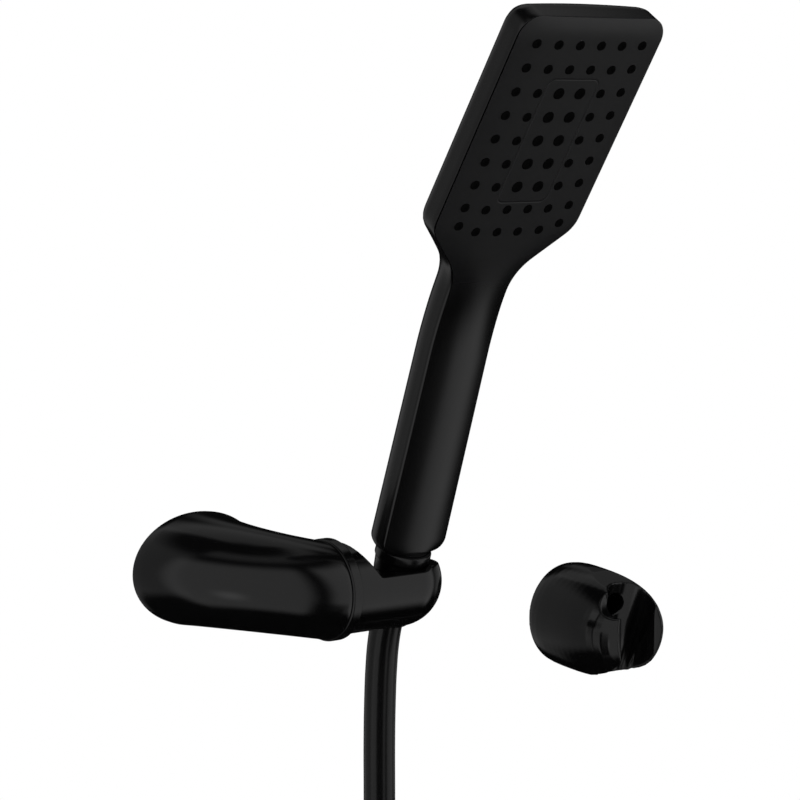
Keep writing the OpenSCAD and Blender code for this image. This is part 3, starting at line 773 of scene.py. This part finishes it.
def hose_points():
    """The hose's middle line: down from the nut, three turns of stored coil, and the tail."""
    points = [Vector((HOSE_X + x, y, z)) for x, y, z in HOSE_ROUTE]
    middle = HOSE_X + COIL_OUTER
    steps = 24
    for k in range(3 * steps - 1):
        turn = k / steps
        angle = math.pi + 2 * math.pi * turn
        radius = mixed(COIL_OUTER, COIL_INNER, eased((turn - 2) / 0.25))
        y = mixed(-0.030, LAYERS[0], eased(turn / 0.2))
        y = mixed(y, LAYERS[1], eased((turn - 0.95) / 0.3))
        y = mixed(y, TAIL_ROUTE[0][1], eased((turn - 2.7) / 0.25))
        points.append(Vector((middle + radius * math.cos(angle), y, COIL_Z + radius * math.sin(angle))))
    return points + [Vector((HOSE_X + x, y, z)) for x, y, z in TAIL_ROUTE]


class SHOWER_OT_hose(bpy.types.Operator):
    """Add the hose along its route, with its stored coil"""

    bl_idname = "shower.hose"
    bl_label = "Hose"

    def execute(self, context):
        s = sizes()
        points = hose_points()
        curve = bpy.data.curves.new("hose", "CURVE")
        curve.dimensions = "3D"
        curve.resolution_u = 6
        curve.bevel_depth = s.hose_diameter / 2
        curve.bevel_resolution = 8
        curve.use_fill_caps = True
        line = curve.splines.new("BEZIER")
        line.bezier_points.add(len(points) - 1)
        for knot, place in zip(line.bezier_points, points, strict=True):
            knot.co = place
            knot.handle_left_type = knot.handle_right_type = "AUTO"
        hose = bpy.data.objects.new("hose", curve)
        context.scene.collection.objects.link(hose)
        dressed(hose, bpy.data.materials["Hose black"], "hose_black", SET_BODY, "hose_tube", "hose_coil", "hose_tail")
        return {"FINISHED"}


class SHOWER_OT_casing(bpy.types.Operator):
    """Add the casing behind the face and handle"""

    bl_idname = "shower.casing"
    bl_label = "Casing"

    def execute(self, context):
        rings = [self.ring(t) for t in stations(0.0, 1)]
        casing = wrapped("casing", rings)
        smooth(casing, 50)
        dressed(casing, bpy.data.materials["Gloss black"], "gloss_black", SET_BODY, "rear_shell")
        return {"FINISHED"}

    def ring(self, t):
        """One section: joint edge, side wall, rounded corner, back and the same again."""
        s = sizes()
        line = spine(t)
        head = headness(t)
        w = half_w(t)
        side, r = mixed(s.handle_side, s.head_side, head), mixed(s.handle_back, s.head_back, head)
        fall = back_fall(t, 0.0)
        edge, rim = mixed(0.9, 0.25, head), s.shell
        depth = 2.0 if rim - s.head_up < t < foot_t() - rim else 0.0
        half = [(w - rim, -depth), (w - rim, 0.0), (w - edge, 0.0), (w - 0.3 * edge, -0.3 * edge), (w, -edge)]
        half += [(w, -side * f) for f in (0.4, 0.8, 0.97)]
        half += [
            (w - r + r * math.cos(q), -side - r * fall * math.sin(q))
            for q in (math.radians(k * 90 / 14) for k in range(15))
        ]
        crown = mixed(1.3, 1.6, head)
        flat = w - r
        half += [(flat * f, -side - fall * (r + crown * (1 - f * f))) for f in (0.98, 0.9, 0.75, 0.55, 0.3)]
        middle = [(0.0, -side - fall * (r + crown))]
        other = [(-x, n) for x, n in reversed(half)]
        return [on_set(x, n, t, line) for x, n in half + middle + other]


class SHOWER_OT_face(bpy.types.Operator):
    """Add the face panel that runs on down the front of the handle"""

    bl_idname = "shower.face"
    bl_label = "Face"

    def execute(self, context):
        cap = wrapped("face_panel", [self.cap(t) for t in stations(0.0, 2)])
        smooth(cap, 40)
        land_in = sizes().shell + 0.1
        land = wrapped("face_land", [self.land(t, land_in) for t in stations(land_in, 1)])
        smooth(land, 40)
        panel = joined([cap, land], "face_panel")
        dressed(panel, bpy.data.materials["Face black"], "gloss_black", SET_BODY, "front_shell")
        return {"FINISHED"}

    def cap(self, t):
        line = spine(t)
        w, g = half_w(t) - mixed(0.6, 0.0, headness(t)), gap_at(t)
        count = 36
        top = [(w * math.sin(math.radians(k * 90 / count)) * 1.0) for k in range(-count, count + 1)]
        front = [(x, face_n(x, t)) for x in top]
        under = min(g, 0.25)
        return [on_set(-x, n, t, line) for x, n in front + [(w - 0.25, g - 0.6 * under), (-w + 0.25, g - 0.6 * under)]]

    def land(self, t, e):
        line = spine(t)
        w = half_w(t, e)
        top = gap_at(t) + 0.15 * rise_at(t)
        return [on_set(-x, n, t, line) for x, n in ((-w, -1.0), (-w, top), (w, top), (w, -1.0))]


def nozzle_places():
    """Where each nozzle stands on the joint plane, and whether it is a massage nozzle."""
    pitch = sizes().nozzle_pitch
    for out, row in product((-2.5, -1.5, -0.5, 0.5, 1.5, 2.5), range(-4, 5)):
        rank = round(abs(out) - 0.5)
        last = row == 4
        x = out * pitch * (LAST_ROW_IN[rank] if last else 1.0)
        up = LAST_ROW_UP[rank] if last else 0.14 * (row + 5) if rank == 2 else 0.0
        yield x, row * pitch - up, rank == 0 and abs(row) < 3


class SHOWER_OT_channel_shade(bpy.types.Operator):
    """Add dark discs in the nozzles' bores as painted shade for the depth of the water channels"""

    bl_idname = "shower.jets"
    bl_label = "Water channels"

    def execute(self, context):
        jets = []
        # Painted shade: a dark rubber disc is set inside each nozzle's bore so that the channel reads black.
        for x, t, massage in nozzle_places():
            bpy.ops.mesh.primitive_cylinder_add(
                vertices=24, radius=CHANNEL_SHADE_R[massage], depth=0.1, location=(0.0, 0.0, face_n(x, t) + CHANNEL_SHADE_UP)
            )
            shade_disc = context.object
            bpy.ops.object.transform_apply(location=True)
            for vertex in shade_disc.data.vertices:
                vertex.co = on_set(x + vertex.co.x, vertex.co.z, t + vertex.co.y)
            jets.append(shade_disc)
        dark = joined(jets, "water_channels")
        dressed(dark, bpy.data.materials["Nozzle rubber"], "nozzle_rubber", SET_BODY)
        return {"FINISHED"}


def arm_ring(quarter, e):
    """One ring of the hollow arm; quarter runs from 0 at the wall to 1 at the round end."""
    foot_a, foot_b, end_r, reach, end_x, drop = 33.5, 24.8, 21.3, 42.0, 35.6, 8.0
    q = quarter * math.pi / 2
    sine, cosine = math.sin(q), math.cos(q)
    a = mixed(foot_a, end_r, sine) - e
    b = mixed(foot_b, end_r, sine**0.8) - e
    middle = Vector((end_x * (1 - cosine), -reach * sine, -drop * (1 - cosine)))
    ring = []
    for k in range(96):
        p = k * 2 * math.pi / 96
        ring.append((middle + Vector((-cosine * a * math.cos(p), -sine * a * math.cos(p), b * math.sin(p)))) * MM)
    return ring


def disc_ring(x, radius):
    """A ring about the tilt axis, in step with the arm's rings."""
    return [
        Vector((x, -42.0 - radius * math.cos(k * 2 * math.pi / 96), -8.0 + radius * math.sin(k * 2 * math.pi / 96))) * MM
        for k in range(96)
    ]


class SHOWER_OT_arm(bpy.types.Operator):
    """Add the bracket's hollow arm"""

    bl_idname = "shower.arm"
    bl_label = "Bracket arm"

    def execute(self, context):
        wall, edge = 3.0, 0.4
        outer = [arm_ring(k / 40, 0.0) for k in range(40)]
        rim = [arm_ring(0.0, e) for e in (wall, wall - edge, edge)]
        inner = [arm_ring(k / 24 * 79 / 90, wall) for k in range(24, 0, -1)]
        end = [
            disc_ring(35.6 - edge, 21.3), disc_ring(35.6 - 0.3 * edge, 21.3 - 0.3 * edge), disc_ring(35.6, 21.3 - edge),
            disc_ring(35.6, 11.05), disc_ring(32.9, 11.05), disc_ring(32.9, 3.1), disc_ring(29.6, 3.1),
            disc_ring(29.6, 8.0),
        ]
        arm = wrapped("bracket_arm_dressed", rim + outer[1:] + end + inner + [rim[0]], ends="join")
        smooth(arm, 40)
        dressed(arm, bpy.data.materials["Bracket black"], "bracket_black", WALL_BODY, "bracket_arm")
        return {"FINISHED"}


class SHOWER_OT_cradle(bpy.types.Operator):
    """Add the tilting cradle, its collar and the conical nut with rubbed edges"""

    bl_idname = "shower.cradle"
    bl_label = "Cradle"

    def execute(self, context):
        bracket = bpy.data.materials["Bracket black"]
        cradle = softened("cradle", "cradle_dressed", 0.0004, 8)
        dressed(cradle, bracket, "bracket_black", SET_BODY, "cradle")
        collar = softened("arm_collar", "collar_dressed", 0.00025, 4)
        dressed(collar, bracket, "bracket_black", WALL_BODY, "arm_collar")
        nut = softened("conical_nut", "nut_dressed", 0.0003, 4)
        dressed(nut, bpy.data.materials["Nut black"], "nut_black", SET_BODY, "conical_nut")
        return {"FINISHED"}


class SHOWER_OT_holder(bpy.types.Operator):
    """Add the second, fixed holder with rubbed edges"""

    bl_idname = "shower.holder"
    bl_label = "Fixed holder"

    def execute(self, context):
        holder = softened("fixed_holder", "holder_dressed", 0.0004, 8)
        dressed(holder, bpy.data.materials["Bracket black"], "bracket_black", WALL_BODY, "fixed_holder")
        return {"FINISHED"}


class SHOWER_OT_fittings(bpy.types.Operator):
    """Give every CAD node that stays its finish"""

    bl_idname = "shower.fittings"
    bl_label = "Fittings"

    def execute(self, context):
        for part in frame["record"]["subparts"]:
            node = frame["nodes"][part["node"]]
            finish = bpy.data.materials[NODE_FINISH[part["material_slot"]]]
            for slot in node.material_slots:
                slot.material = finish
        return {"FINISHED"}


class SHOWER_PT_panel(bpy.types.Panel):
    """Lists the steps of the shower set in the sidebar"""

    bl_idname = "SHOWER_PT_panel"
    bl_label = "Shower Set"
    bl_space_type = "VIEW_3D"
    bl_region_type = "UI"
    bl_category = "Shower Set"

    def draw(self, context):
        for step in STEPS:
            self.layout.operator(step.bl_idname)


STEPS = (
    SHOWER_OT_stage,
    SHOWER_OT_hose,
    SHOWER_OT_casing,
    SHOWER_OT_face,
    SHOWER_OT_channel_shade,
    SHOWER_OT_arm,
    SHOWER_OT_cradle,
    SHOWER_OT_holder,
    SHOWER_OT_fittings,
)
CLASSES = (ShowerSizes, ShowerColours, *STEPS, SHOWER_PT_panel)


def register():
    for each in CLASSES:
        bpy.utils.register_class(each)
    bpy.types.Scene.shower_sizes = bpy.props.PointerProperty(type=ShowerSizes)
    bpy.types.Scene.shower_colours = bpy.props.PointerProperty(type=ShowerColours)


def unregister():
    del bpy.types.Scene.shower_colours
    del bpy.types.Scene.shower_sizes
    for each in reversed(CLASSES):
        bpy.utils.unregister_class(each)


def main():
    register()
    make_finishes()
    bpy.ops.shower.stage()
    bpy.ops.shower.hose()
    bpy.ops.shower.casing()
    bpy.ops.shower.face()
    bpy.ops.shower.jets()
    bpy.ops.shower.arm()
    bpy.ops.shower.cradle()
    bpy.ops.shower.holder()
    bpy.ops.shower.fittings()


if __name__ == "__main__":
    main()
